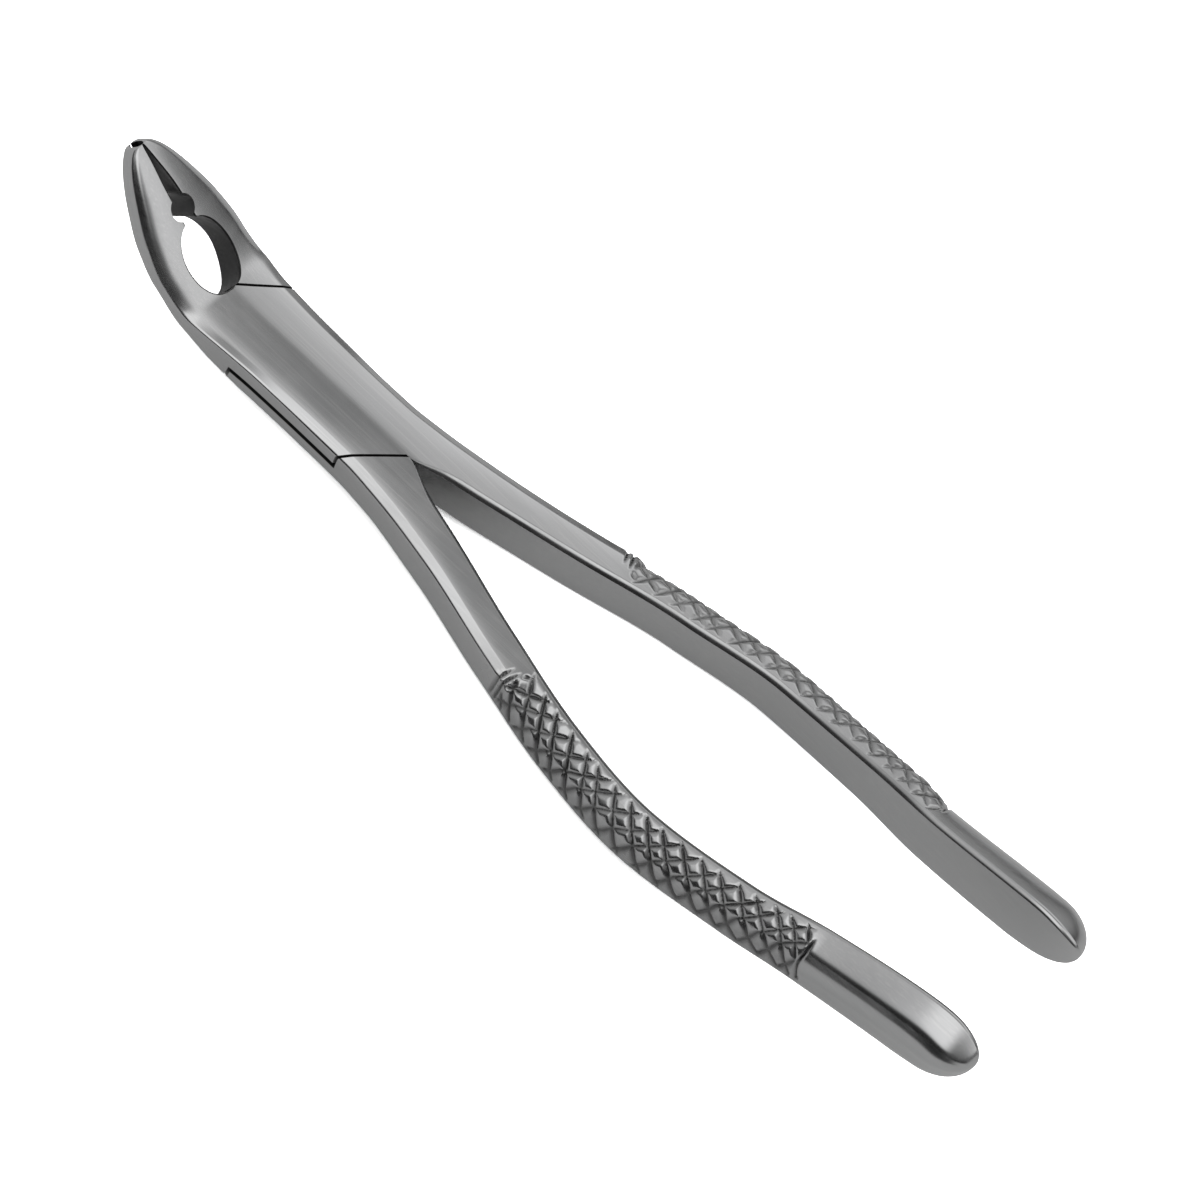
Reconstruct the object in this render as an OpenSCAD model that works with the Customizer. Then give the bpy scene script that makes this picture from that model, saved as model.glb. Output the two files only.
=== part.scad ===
// Extraction forceps: two forged levers crossing at a half-lap pivot, held by one slotted screw.
// X runs along the instrument with the beaks at -X, Y is across it, and Z is the pivot axis.
// The origin is on the pivot axis, at the flat underside of the joint.

/* [Joint] */
// Thickness of the joint over both laps
joint_t = 8.6; // [8:0.1:9.4]
// Half of the width of the joint at the pivot
joint_half_w = 6.5; // [6.2:0.1:7]
// Distance from the pivot axis to the crotch between the handles
crotch_reach = 17.6; // [17:0.1:18.2]
// Distance from the pivot axis to the corner where the beaks part
throat_reach = 17; // [16.6:0.1:17.4]
// Distance from the pivot axis to where the beak shoulders would meet on the centre line
shoulder_reach = 17.9; // [17.4:0.1:18.4]
// Angle of the handle shoulders to the centre line, in plan
handle_shoulder = 46; // [44:1:50]
// Angle of the upper beak shoulder to the centre line, in plan
upper_shoulder = 50; // [48:1:52]
// Angle of the lower beak shoulder to the centre line, in plan
lower_shoulder = 42; // [40:1:46]
// Clearance between a lap's end and the shoulder that faces it
shoulder_gap = 0.3; // [0.2:0.05:0.4]
// Clearance between the two lap faces
lap_gap = 0.06; // [0.04:0.01:0.1]

/* [Handles] */
// Distance from the pivot axis to the end of a handle
handle_reach = 136; // [130:0.5:140]
// Widest half gap between the handles
handle_half_gap = 14.3; // [13:0.1:15.5]
// Rise of the handle ends above the joint's mid plane
handle_rise = 8.6; // [7:0.1:10]
// Height of a handle's inner face at its grip
handle_h = 9.8; // [9:0.1:10.6]
// Depth of a handle across the instrument
handle_depth = 5.2; // [5:0.1:5.8]

/* [Beaks] */
// Distance from the pivot axis to the upper rim of the tips
beak_reach = 38.8; // [37:0.2:40]
// Height of the tips' upper rim above the joint's mid plane
beak_rise = 18.5; // [17.5:0.1:19.5]
// Slope of the beaks above the joint's plane
beak_slope = 33; // [31:1:35]
// Greatest half width over the beaks
beak_half_w = 8.5; // [8.1:0.1:8.8]
// Length of the tooth window along X, forward from the corner where the beaks part
window_l = 10.4; // [10:0.1:10.8]
// Half width of the tooth window
window_half_w = 4.1; // [3.8:0.1:4.4]
// Distance from the pivot axis to the notch in front of the window
notch_reach = 29.4; // [29:0.1:29.8]
// Radius of the round notch in front of the window
notch_r = 2.1; // [1.8:0.1:2.3]
// Diameter of the scoop that hollows the tips
scoop_d = 3.2; // [2.8:0.1:3.4]
// Depth of the scoop's axis below the tips' upper rim
scoop_drop = 1.9; // [1.7:0.1:2.1]

/* [Pivot screw] */
// Diameter of the screw's shank
shank_d = 4; // [3.5:0.1:4.5]
// Diameter of the screw's head
head_d = 7; // [6.4:0.1:7.4]
// Thickness of the screw's head
head_t = 1.6; // [1.4:0.1:1.8]
// Depth of the thread in the upper lap
thread_depth = 3; // [2.5:0.1:3.2]
// Radial clearance of the shank and the head in the lower lap
pivot_clearance = 0.04; // [0.03:0.01:0.06]
// Width of the screwdriver slot
slot_w = 0.9; // [0.7:0.1:1.2]
// Depth of the screwdriver slot
slot_depth = 0.7; // [0.5:0.1:0.9]

/* [Hidden] */
steel = "#8c8f93";
screw_steel = "#a2a5a9";
mid_z = joint_t / 2;
side_steps = 8;
beak_steps = 30;
joint_steps = 12;
handle_steps = 36;
end_steps = 7;
end_l = 11;
tip_gap = 0.05;
cut = 60;
notch_rise = 12.4;
scoop_l = 12;
scoop_back = 3;

// Stations run from the tip to the end of one lever half. Each is
// [x, height of the inner upper edge above mid plane, lean of the section in degrees,
//  thickness, inner y, depth, upper roundness, lower roundness, flat share of the underside,
//  rise of the inner lower edge].
beak_stations = [
    [-beak_reach, beak_rise, beak_slope, 3.5, tip_gap, 2.2, 2.6, 2.4, 0, 0.2],
    [-36.6, beak_rise - 1.4, beak_slope, 4.3, 0.3, 3.9, 2.8, 2.4, 0, 0.4],
    [-32, 14.1, beak_slope, 5.3, 0.85, 5.3, 3, 2.4, 0, 0.8],
    [-27.5, 11.1, beak_slope, 5.9, 1, 6.6, 3, 2.4, 0, 1],
    [-22.5, 7.9, beak_slope, 6.1, 0.5, beak_half_w - 0.7, 3.4, 2.4, 0, 1.8],
    [-throat_reach, 5, 20, 7.1, 0, beak_half_w - 0.2, 4, 3, 0.2, 1.8],
];
joint_stations = [
    [-throat_reach, 5, 20, 7.1, 0, beak_half_w - 0.2, 4, 3, 0.2, 1.8],
    [-12.5, mid_z, 4, joint_t - 0.3, 0, joint_half_w + 0.6, 6, 5, 0.5, 0.1],
    [-5, mid_z, 0, joint_t, 0, joint_half_w + 0.1, 8, 6, 0.7, 0],
    [5, mid_z, 0, joint_t, 0, joint_half_w, 8, 6, 0.7, 0],
    [12, mid_z, 0, joint_t, 0, joint_half_w + 0.1, 8, 6, 0.5, 0],
    [crotch_reach, mid_z - 0.1, 0, joint_t + 0.3, 0, joint_half_w + 0.5, 7, 4, 0.2, 0],
];
handle_stations = [
    [crotch_reach, mid_z - 0.1, 0, joint_t + 0.3, 0, joint_half_w + 0.5, 7, 4, 0.2, 0],
    [30, 3.6, 0, handle_h, 3.4, handle_depth + 0.9, 6, 3, 0, 0],
    [46, 2.5, 0, handle_h - 0.2, 7.8, handle_depth + 0.6, 6, 3, 0, 0],
    [62, 2.2, 0, handle_h - 0.6, 12, handle_depth + 0.4, 5, 3, 0, 0],
    [79, 3.5, 0, handle_h, handle_half_gap, handle_depth + 0.2, 4, 3, 0, 0],
    [96, 6.8, 0, handle_h + 0.9, 13.5, handle_depth, 4, 3.5, 0, 0],
    [109, handle_rise + 2.2, 0, handle_h + 2.8, 12.1, handle_depth + 0.1, 4, 4, 0, 0],
    [handle_reach - end_l, handle_rise + 6.7, 0, handle_h + 3.6, 11.1, handle_depth + 0.6, 4, 4, 0, 0],
];

// Catmull-Rom curve through a list of stations, with t from 0 to 1.
function station(list, k) = list[min(max(k, 0), len(list) - 1)];
function blend4(a, b, c, d, f) =
    0.5 * (2 * b + (c - a) * f + (2 * a - 5 * b + 4 * c - d) * f * f
        + (3 * b - a - 3 * c + d) * f * f * f);
function along(list, t) =
    let (s = t * (len(list) - 1), k = min(floor(s), len(list) - 2))
    blend4(station(list, k - 1), station(list, k), station(list, k + 1), station(list, k + 2),
        s - k);

// How far the tooth window opens each half, at a distance x along the instrument.
function window_y(x) =
    let (f = 2 * (-throat_reach - x) / window_l - 1)
    window_half_w * pow(max(1 - f * f, 0), 0.47);

// Outline of a section as [outward, upward] pairs, from its inner upper edge round the outer
// side to its inner lower edge. The upper and lower quarters are superellipses, and both start
// at the share of the depth that the window leaves open.
function fall(share, p) = 1 - pow(max(1 - pow(share, p), 0), 1 / p);
function upper_point(s, open, q) =
    let (out = open + (1 - open) * pow(sin(q), 2 / s[6]))
    [s[5] * out, -s[3] / 2 * fall(out, s[6])];
function lower_point(s, open, q) =
    let (turn = max(q - 15, 0) * 1.2,
        full = s[8] * min(1, q / 15) + (1 - s[8]) * pow(sin(turn), 2 / s[7]),
        out = open + (1 - open) * full,
        core = max(out - s[8], 0) / (1 - s[8]))
    [s[5] * out, s[9] * pow(1 - out, 2) - s[3] + s[3] / 2 * fall(core, s[7])];
function outline(s) =
    let (open = max(window_y(s[0]) - s[4], 0) / s[5])
    concat(
        [for (i = [0:side_steps]) upper_point(s, open, 90 * i / side_steps)],
        [for (i = [side_steps - 1:-1:0]) lower_point(s, open, 90 * i / side_steps)]);

// Points of one section in space, leaning by its angle about Y.
function ring(s, side) =
    [for (p = outline(s)) [
        s[0] + p[1] * sin(s[2]),
        side * (s[4] + p[0]),
        s[1] + p[1] * cos(s[2])]];

// The last stretch of a handle shrinks to a rounded end.
function end_station(q) =
    let (s = along(handle_stations, 1), grow = pow(cos(q), 0.75))
    [s[0] + end_l * sin(q), s[1] - s[3] * (1 - grow) * 0.44 + sin(q), 0,
        s[3] * grow, s[4], s[5] * (0.6 + 0.4 * grow), s[6] - 1.5 * sin(q), s[7] - sin(q), 0, 0];

all_stations = concat(
    [for (i = [0:beak_steps - 1]) along(beak_stations, i / beak_steps)],
    [for (i = [0:joint_steps - 1]) along(joint_stations, i / joint_steps)],
    [for (i = [0:handle_steps - 1]) along(handle_stations, i / handle_steps)],
    [for (i = [0:end_steps]) end_station(84 * i / end_steps)]);
ring_n = 2 * side_steps + 1;
ring_count = len(all_stations);
first_joint = beak_steps;
last_joint = beak_steps + joint_steps;

// Both halves share the points on the centre line of the joint.
function on_centre(k, j) =
    k >= first_joint && k <= last_joint && (j == 0 || j == ring_n - 1);
function index(side, k, j) =
    (side < 0 && !on_centre(k, j) ? ring_count * ring_n : 0) + k * ring_n + j;
function quad(side, k, j, next) =
    let (a = index(side, k, j), b = index(side, k, next), c = index(side, k + 1, next),
        d = index(side, k + 1, j))
    side > 0 ? [[a, b, c], [a, c, d]] : [[a, c, b], [a, d, c]];
function cap(side, k, outward) =
    [for (j = [1:ring_n - 2])
        side * outward > 0
            ? [index(side, k, 0), index(side, k, j), index(side, k, j + 1)]
            : [index(side, k, 0), index(side, k, j + 1), index(side, k, j)]];
function is_split(k) = k < first_joint || k >= last_joint;
function half_faces(side) = concat(
    [for (k = [0:ring_count - 2]) for (j = [0:ring_n - 2]) each quad(side, k, j, j + 1)],
    [for (k = [0:ring_count - 2]) if (is_split(k)) each quad(side, k, ring_n - 1, 0)],
    cap(side, 0, -1),
    cap(side, ring_count - 1, 1));

// The closed instrument's outer shape, before it is parted into two levers.
module closed_shape() {
    translate([0, 0, mid_z])
        polyhedron(
            points = concat(
                [for (s = all_stations) each ring(s, 1)],
                [for (s = all_stations) each ring(s, -1)]),
            faces = concat(half_faces(1), half_faces(-1)),
            convexity = 8);
}

// Plan of the lap of the lever whose beak is at -Y: all but the other lever's beak and handle.
module lap_plan(shoulder) {
    g = shoulder_gap / 2;
    handle_corner = crotch_reach - g / sin(handle_shoulder);
    beak_corner = shoulder_reach - g / sin(shoulder);
    polygon([
        [-2 * cut, -cut],
        [handle_corner - cut / tan(handle_shoulder), -cut],
        [handle_corner, 0],
        [3 * cut, 0],
        [3 * cut, cut],
        [cut / tan(shoulder) - beak_corner, cut],
        [-beak_corner, -tip_gap],
        [-2 * cut, -tip_gap],
    ]);
}

// Plan of that lever's own beak and handle, which keep the full height beyond the shoulders.
module arm_plan(shoulder) {
    g = shoulder_gap / 2;
    handle_corner = crotch_reach + g / sin(handle_shoulder);
    beak_corner = shoulder_reach + g / sin(shoulder);
    polygon([
        [handle_corner, 0],
        [3 * cut, 0],
        [3 * cut, cut],
        [handle_corner - cut / tan(handle_shoulder), cut],
    ]);
    polygon([
        [-beak_corner, -tip_gap],
        [-2 * cut, -tip_gap],
        [-2 * cut, -cut],
        [cut / tan(shoulder) - beak_corner, -cut],
    ]);
}

module lever_region(lap_shoulder, arm_shoulder) {
    translate([0, 0, lap_gap / 2]) linear_extrude(cut) lap_plan(lap_shoulder);
    translate([0, 0, -cut]) linear_extrude(2 * cut) arm_plan(arm_shoulder);
}

// The round notch between the window and the tips.
module notch() {
    translate([-notch_reach, 0, notch_rise])
        rotate([0, beak_slope, 0])
            cylinder(h = 20, r = notch_r, center = true, $fn = 48);
}

// The scoop that hollows the inner faces of the tips.
module scoop() {
    translate([-beak_reach, 0, beak_rise])
        rotate([0, beak_slope, 0])
            translate([-scoop_back, 0, -scoop_drop])
                rotate([0, 90, 0])
                    cylinder(h = scoop_l, d = scoop_d, $fn = 48);
}

// One lever before its pivot holes. Flip is 0 for the upper lap and 180 for the lower one.
module lever_blank(flip, lap_shoulder, arm_shoulder) {
    intersection() {
        closed_shape();
        translate([0, 0, mid_z])
            rotate([flip, 0, 0])
                lever_region(lap_shoulder, arm_shoulder);
    }
}

module tip_cuts() {
    translate([0, 0, mid_z]) notch();
    translate([0, 0, mid_z]) scoop();
}

// Lever with the upper lap, the threaded hole, the -Y beak and the +Y handle.
module top_lever() {
    color(steel)
        difference() {
            lever_blank(0, upper_shoulder, lower_shoulder);
            tip_cuts();
            translate([0, 0, mid_z - 1]) cylinder(h = thread_depth + 1, d = shank_d, $fn = 64);
        }
}

// Lever with the lower lap, the screw's bore and counterbore, the +Y beak and the -Y handle.
module bottom_lever() {
    color(steel)
        difference() {
            lever_blank(180, lower_shoulder, upper_shoulder);
            tip_cuts();
            translate([0, 0, -1])
                cylinder(h = joint_t, d = shank_d + 2 * pivot_clearance, $fn = 64);
            translate([0, 0, -1])
                cylinder(h = head_t + lap_gap + 1, d = head_d + 2 * pivot_clearance, $fn = 64);
        }
}

// Slotted screw, its head flush with the underside and its end threaded into the upper lap.
module pivot_screw() {
    color(screw_steel)
        difference() {
            union() {
                cylinder(h = head_t, d = head_d, $fn = 64);
                cylinder(h = mid_z + thread_depth, d = shank_d, $fn = 64);
            }
            translate([-head_d, -slot_w / 2, -1]) cube([2 * head_d, slot_w, slot_depth + 1]);
        }
}

top_lever();
bottom_lever();
pivot_screw();
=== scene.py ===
import math
from collections import namedtuple

import bmesh
import bpy
import numpy as np
from mathutils import Matrix, Vector


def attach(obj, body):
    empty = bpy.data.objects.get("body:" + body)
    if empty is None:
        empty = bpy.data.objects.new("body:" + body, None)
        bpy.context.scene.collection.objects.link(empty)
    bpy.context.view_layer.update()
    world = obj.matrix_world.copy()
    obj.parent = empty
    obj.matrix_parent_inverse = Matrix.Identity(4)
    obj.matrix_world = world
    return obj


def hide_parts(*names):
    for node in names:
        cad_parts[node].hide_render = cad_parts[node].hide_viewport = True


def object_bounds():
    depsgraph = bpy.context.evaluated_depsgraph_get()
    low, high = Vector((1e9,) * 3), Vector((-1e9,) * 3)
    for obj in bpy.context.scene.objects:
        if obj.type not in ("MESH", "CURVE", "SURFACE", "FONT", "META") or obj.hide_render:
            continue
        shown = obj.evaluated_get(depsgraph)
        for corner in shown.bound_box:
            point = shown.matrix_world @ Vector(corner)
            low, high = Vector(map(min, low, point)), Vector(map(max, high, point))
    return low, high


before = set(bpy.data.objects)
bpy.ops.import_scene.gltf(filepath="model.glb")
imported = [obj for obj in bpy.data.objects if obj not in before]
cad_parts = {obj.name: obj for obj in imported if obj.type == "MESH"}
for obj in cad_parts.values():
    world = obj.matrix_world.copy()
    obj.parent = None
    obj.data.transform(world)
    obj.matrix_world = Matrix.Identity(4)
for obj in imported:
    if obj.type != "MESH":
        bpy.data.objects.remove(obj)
cad_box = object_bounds()

# Sizes are in millimetres, in the part's frame: X along the instrument, Y across it, Z up.
MM = 0.001
TINY = 1e-9
# Points closer than this, in metres, are one point.
WELD = 1e-7
# Height of the lap plane, the joint's mid plane.
MID_Z = 4.3

# Places along the instrument, from the beak tips to the handle ends.
TIP_X = -38.8
THROAT_X = -17.0
CROTCH_X = 17.6
GRIP_START = 50.6
GRIP_END = 107.5
END_X = 136.0
# How far a half's rings run on past the joint, into what the seam takes away.
STUB = 5.0

# Rounding of a handle's end: its length in side view and in plan, how far the inner edge curls
# outward, the share of the lost height that comes off the top, and the roundness in side view,
# where 0.5 is an ellipse.
END_L = 11.0
END_W = 6.5
END_CURL = 1.7
END_DROP = 0.5
END_POWER = 0.45
# Rounding of a beak's tip: its length, and how far it draws the outer side in.
TIP_ROUND = 1.0
TIP_PULL = 0.55

# The tooth window between the beaks, nearly an ellipse, and the round notch in front of it.
WINDOW_L = 10.4
WINDOW_HALF_W = 4.1
WINDOW_POWER = 0.47
NOTCH_AT = (-29.4, 0, 12.4 + MID_Z)
NOTCH_R = 2.1
BEAK_SLOPE = math.radians(33)

# The seam of the half lap: the gaps at its shoulders and between the laps, the height and depth of
# the open groove along its edge, where the beak shoulders would meet on the centre line, and the
# shoulders' angles to the centre line.
SHOULDER_GAP = 0.38
LAP_GAP = 0.06
LAP_GROOVE = 0.55
LAP_GROOVE_DEPTH = 0.8
SHOULDER_X = 17.9
HANDLE_SHOULDER = 46
UPPER_SHOULDER = 50
LOWER_SHOULDER = 42

# The pivot screw, its slot, and its clearance in the lower lever, round it and over its head.
SHANK_R = 2.0
HEAD_R = 3.5
HEAD_T = 1.6
THREAD_TOP = 7.3
SLOT_W = 0.9
SLOT_DEPTH = 0.7
CLEARANCE = 0.04
HEAD_ROOM = 0.06

# Degrees between faces from which an edge stays sharp.
LEVER_SHARP = 32
SCREW_SHARP = 28
# Kinds of steel, in the order of an object's materials: polished; ground, rougher and darkened almost
# to black as painted shade in recesses and between the beaks; lapped, duller and darkened as painted
# shade in the seam's gaps.
POLISHED, GROUND_SHADE, LAPPED_SHADE = range(3)

# The tables hold (place along X, value) keys. First the inner upper edge's height above the joint's
# mid plane, the section's lean in degrees, and the section's height.
TOP = [(-38.8, 18.5), (-36.6, 17.4), (-32, 14.6), (-27.5, 11.4), (-22.5, 8), (-17, 5), (-12.5, 4.35),
       (-8, 4.3), (12, 4.3), (17.6, 4.3), (30, 3.9), (46, 2.9), (62, 2.8), (79, 4.2), (96, 7.5),
       (109, 11.3), (125, 15.8), (131, 17), (136, 17.4)]
LEAN = [(-38.8, 33), (-22.5, 33), (-17, 20), (-12.5, 4), (-8, 0), (136, 0)]
HEIGHT = [(-38.8, 3.5), (-36.6, 4.4), (-32, 5.6), (-27.5, 6.1), (-22.5, 6.1), (-17, 7.1), (-12.5, 8.3),
          (-5, 8.6), (12, 8.6), (17.6, 8.9), (30, 9.9), (46, 9.8), (62, 9.4), (79, 9.9), (96, 10.7),
          (109, 12.1), (125, 12.9), (136, 12.9)]
# Distance across from the centre line to the inner face, where the beaks and the handles have
# parted, and to the outer side.
INNER = [(-38.8, 0.05), (-36.6, 0.3), (-32, 0.85), (-27.5, 1), (-22.5, 0.5), (-17, 0), (17.6, 0),
         (23.6, 1.8), (30, 3.4), (46, 7.7), (62, 11.65), (79, 13.95), (96, 13.1), (109, 11.5),
         (125, 10.5), (136, 10.2)]
OUTER = [(-38.8, 1.7), (-36.6, 3.5), (-32, 5.85), (-27.5, 7.5), (-22.5, 8.35), (-18, 8.3),
         (-12.5, 7.75), (-5, 7.35), (5, 7.25), (12, 7.3), (17.6, 7.8), (30, 9.85), (46, 13.75),
         (62, 17.75), (79, 19.8), (96, 18.8), (109, 17.5), (125, 16.9), (136, 16.7)]
# How far the side leans in towards the underside.
SLANT = [(-38.8, 0), (-24, 0), (-15, 0.3), (-5, 0.35), (8, 0.3), (14, 0.2), (40, 0.2), (60, 0.5),
         (136, 0.6)]
# Rise of the inner lower edge and of the outer lower edge.
LIFT = [(-38.8, 0.2), (-32, 0.05), (-28.5, 0), (-22.5, 1.8), (-17, 1.8), (-12.5, 0.1), (-8, 0),
        (136, 0)]
RISE = [(-38.8, 0.6), (-30, 1.2), (-20, 1.6), (-16, 2.1), (-12.5, 1.8), (-7, 1.1), (12, 1),
        (17.6, 1.3), (30, 1.8), (62, 1.7), (136, 1.7)]
# The crowned top: its even fall away from the middle, its swell down to the bevel, and how
# suddenly it swells.
FALL = [(-38.8, 0.05), (-30, 0.05), (-20, 0.07), (-12, 0.085), (46, 0.085), (60, 0.06), (102, 0.1),
        (109, 0.4), (136, 0.42)]
SWELL = [(-38.8, 0.2), (-30, 1), (-22, 1), (-12, 0.4), (12, 0.4), (46, 0.3), (60, 0.2),
         (102, 0.4), (109, 1.4), (136, 1.5)]
SWELL_POWER = [(-38.8, 2.2), (-22, 2.4), (-15, 5), (50, 5), (60, 3), (136, 3)]
# Half width of the middle strip where the crown turns over.
MIDDLE = 0.8
# The bevel along the outer upper edge: its width and its drop. It is wide and round at the grip,
# and steep past it.
BEVEL_W = [(-38.8, 0.5), (-36, 0.9), (-30, 1.2), (-20, 1.3), (-12, 1.45), (46, 1.45), (50.4, 1.5),
           (53.5, 3), (104.5, 2.8), (109, 1.8), (136, 1.6)]
BEVEL_D = [(-38.8, 0.5), (-36, 0.9), (-30, 1.2), (-22, 1.2), (-19, 0.9), (-16.5, 0.3), (-12, 0.15),
           (-8, 0.2), (0, 0.45), (8, 0.8), (20, 0.8), (40, 0.7), (50.4, 0.7), (53.5, 1.9),
           (104.5, 2), (109, 2.6), (136, 2.4)]
# Extra drop of the bevel on the far side of the joint.
FAR_BEVEL_D = [(-38.8, 0), (-20, 0), (-14, 0.5), (0, 0.4), (14, 0.3), (46, 0.1), (50, 0), (136, 0)]
# Radii of the crease under the bevel, of the soft turn above it, and of the outer lower edge.
CREASE_R = [(-38.8, 0.3), (-30, 0.6), (-20, 0.5), (-10, 0.5), (50.4, 0.5), (53.5, 2.6),
            (104.5, 2.4), (109, 1.8), (136, 1.6)]
SOFT_R = [(-38.8, 0.3), (-30, 0.7), (-20, 0.7), (-10, 0.15), (50.4, 0.15), (53.5, 0.8),
          (104.5, 0.7), (109, 0.45), (136, 0.45)]
LOWER_R = [(-38.8, 0.8), (-30, 1.6), (-20, 1.9), (-16, 1.9), (-12, 1.3), (-6, 0.9), (12, 0.9),
           (20, 1.4), (40, 2.2), (60, 2), (100, 2.2), (136, 3)]
# Rounding of the inner edges.
INNER_R = [(-38.8, 0.15), (-30, 0.2), (-24, 0.22), (-17.6, 0.2), (-17, 0), (17.6, 0), (21, 0.4),
           (26, 0.8), (136, 0.8)]
# How far the inner upper edge is from a round towards a flat chamfer, the share of it that turns
# into the top, and the share of that turn before the chamfer's end.
CHAMFER = 0.84
CHAMFER_TURN = 0.1
CHAMFER_END = 0.7
# The inner lower edge's rounding, as a share of the upper one's.
LOWER_EDGE = 0.6
# Share of the side's height that its two corners may take.
CORNER_SHARE = 0.95
# Depth of the hollow in the tips' inner faces.
HOLLOW = [(-38.8, 1.1), (-35, 0.9), (-31.6, 0.35), (-31, 0), (136, 0)]

# Points per stretch of a ring, in order: from the inner upper edge over the top, down the outer
# side, along the underside and up the inner face.
N_TOP = 18
N_SOFT = 6
N_BEVEL = 8
N_CREASE = 24
N_SIDE = 26
N_LOWER = 10
N_BOTTOM = 12
N_INNER_EDGE = 6
N_INNER = 12
N_TURN = 4
CORNER_POINT = N_TOP + N_SOFT + N_BEVEL + N_CREASE // 2
SIDE_POINTS = N_TOP + N_SOFT + N_BEVEL + N_CREASE + N_SIDE
OUTER_POINTS = SIDE_POINTS + N_LOWER + N_BOTTOM

# Where rings start and how far apart they are from there, closer where the shape turns quickly.
JOINT_RINGS = [(THROAT_X, 0.12), (THROAT_X + 1, 0.35), (CROTCH_X - 0.6, 0.15)]
BEAK_RINGS = [(TIP_X, 0.06), (TIP_X + 0.6, 0.3), (-28.6, 0.15), (-26, 0.3), (-19, 0.15), *JOINT_RINGS,
              (CROTCH_X, 1), (CROTCH_X + STUB, 1)]
HANDLE_RINGS = [(THROAT_X - STUB, 1), *JOINT_RINGS, (CROTCH_X, 0.2), (24, 0.5),
                (GRIP_START - 1.5, 0.16), (GRIP_END + 1.5, 0.5), (END_X - END_L, 0.35),
                (END_X - 3, 0.2), (END_X - 0.8, 0.06), (END_X - 0.1, 0.02), (END_X - 0.005, 1)]

# A lever's grip: the seed of its grooves, the width of its smooth inner strip, how much rounder it
# is than the tables say, and how deep its crossing grooves are.
Grip = namedtuple("Grip", "seed strip rounder strength")
UPPER_GRIP = Grip(seed=11, strip=0, rounder=-0.15, strength=0.75)
LOWER_GRIP = Grip(seed=12, strip=0.05, rounder=0.35, strength=1.15)
# Length over which the extra roundness sets in.
GRIP_FADE = 3

# The grip's two crossing families of grooves: slant, spacing, depth, and the extra width of the
# smooth strip before their inner ends.
FAMILIES = [(0.86, 3.2, 0.44, 0), (-1.12, 3.55, 0.4, 0.3)]
# Their slant on the side, as a share of that on the top, and their reach to either side.
SIDE_SLANT = 0.5
GROOVE_REACH = 0.72
# The straight grooves at the grip's start and end: distance from there, depth, inner end, reach to
# either side.
START_GROOVES = [(0, 0.4, 2.4, 0.46), (1.05, 0.42, 2.0, 0.46)]
END_GROOVES = [(0, 0.45, 1.6, 0.6)]
# Length over which a crossing and a straight groove run out at their inner ends, and both on the
# lower edge, which they pass by PAST_LOWER_EDGE.
RUN_OUT = 1.1
STRAIGHT_RUN_OUT = 1.6
LOWER_RUN_OUT = 1.6
PAST_LOWER_EDGE = 1.2
# How blunt the inner ends are, how hollow the flanks are, and the least width left at an end.
END_BLUNTNESS = 0.6
FLANK_POWER = 1.6
LEAST_WIDTH = 0.02
# How far the hand strays: in place, in slant, in share of the depth and at the inner end.
PLACE_SHIFT = 0.25
SLANT_SHIFT = 0.05
DEPTH_SHARE = (0.8, 1.1)
INNER_SHIFT = 0.3
# The crossing grooves start this far before the grip and stop this far past it, and show only
# inside its margins.
LEAD_IN = 6
LEAD_OUT = 8
START_MARGIN = 1.5
END_MARGIN = 0.4
MARGIN_FADE = 0.4
# How much less polished the grip and its side are, in the measure of the grooves' depth, and the
# lengths over which that sets in from its ends, from its inner strip and down its side. It also darkens
# the colour, more towards the bottom of the side.
GRIP_DULL = 0.04
SIDE_DULL = 0.07
DULL_FROM_ENDS = 1.5
DULL_FROM_STRIP = 3
DULL_DOWN_SIDE = 2
# The point attribute that tells the steel how deep in a groove a point lies, plus the grip's dullness.
# The steel paints shade and grows rougher with it.
GROOVE_ATTR = "shade_and_dullness"


def smooth(keys, x):
    """A smooth curve through (place, value) keys, with slopes that never overshoot."""
    xs = np.array([k[0] for k in keys], float)
    ys = np.array([k[1] for k in keys], float)
    step = np.diff(xs)
    slope = np.diff(ys) / step
    tangent = np.zeros(len(xs))
    tangent[0], tangent[-1] = slope[0], slope[-1]
    same = slope[:-1] * slope[1:] > 0
    w1 = 2 * step[1:] + step[:-1]
    w2 = step[1:] + 2 * step[:-1]
    with np.errstate(divide="ignore", invalid="ignore"):
        mean = (w1 + w2) / (w1 / slope[:-1] + w2 / slope[1:])
    tangent[1:-1] = np.where(same, mean, 0)
    x = np.clip(np.asarray(x, float), xs[0], xs[-1])
    k = np.clip(np.searchsorted(xs, x, side="right") - 1, 0, len(xs) - 2)
    t = (x - xs[k]) / step[k]
    return (ys[k] * (1 + 2 * t) * (1 - t) ** 2 + ys[k + 1] * t * t * (3 - 2 * t)
            + step[k] * (tangent[k] * t * (1 - t) ** 2 - tangent[k + 1] * t * t * (1 - t)))


def window_y(x):
    """Half width of the tooth window."""
    f = 2 * (THROAT_X - x) / WINDOW_L - 1
    return WINDOW_HALF_W * np.maximum(1 - f * f, 0) ** WINDOW_POWER


def column(keys, x):
    """One value a ring, as a column that combines with the points along the ring."""
    return smooth(keys, x)[:, None]


def bezier(a, c, b, n):
    """Points of a quadratic curve from a to b that leans on corner c, for all rings at once."""
    t = np.linspace(0, 1, n + 1)[:-1]
    return (1 - t) ** 2 * a + 2 * t * (1 - t) * c + t * t * b


def run(a, b, n):
    """Points of a straight line from a towards b, for all rings at once."""
    t = np.linspace(0, 1, n + 1)[:-1]
    return a * (1 - t) + b * t


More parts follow.
